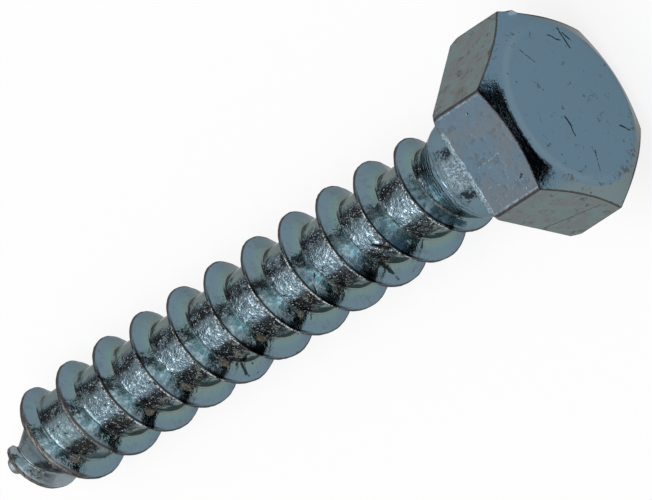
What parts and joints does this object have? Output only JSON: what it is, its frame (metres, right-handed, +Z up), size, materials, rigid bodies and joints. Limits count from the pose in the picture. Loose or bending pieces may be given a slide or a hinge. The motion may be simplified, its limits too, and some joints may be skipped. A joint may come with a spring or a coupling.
{
  "type": "lag screw",
  "caption": "Hexagon-head wood screw with a short plain neck, a coarse right-hand thread and a blunt cone point, in zinc-plated steel, lying on its side.",
  "frame": {"origin": "bottom centre of the box round the screw as it lies at rest", "axes": "+X along the screw towards its head, +Z up from the surface it lies on; the screw's own axis rises towards the head by 3.65 degrees"},
  "size_m": [0.0668, 0.0184, 0.0164],
  "materials": {
    "zinc_plate": "bright zinc plate, blue-grey, smooth on the head and thread flanks, rough in the thread's root, with brown stains"
  },
  "bodies": {
    "root": {"lag_screw": "zinc_plate"}
  },
  "joints": []
}
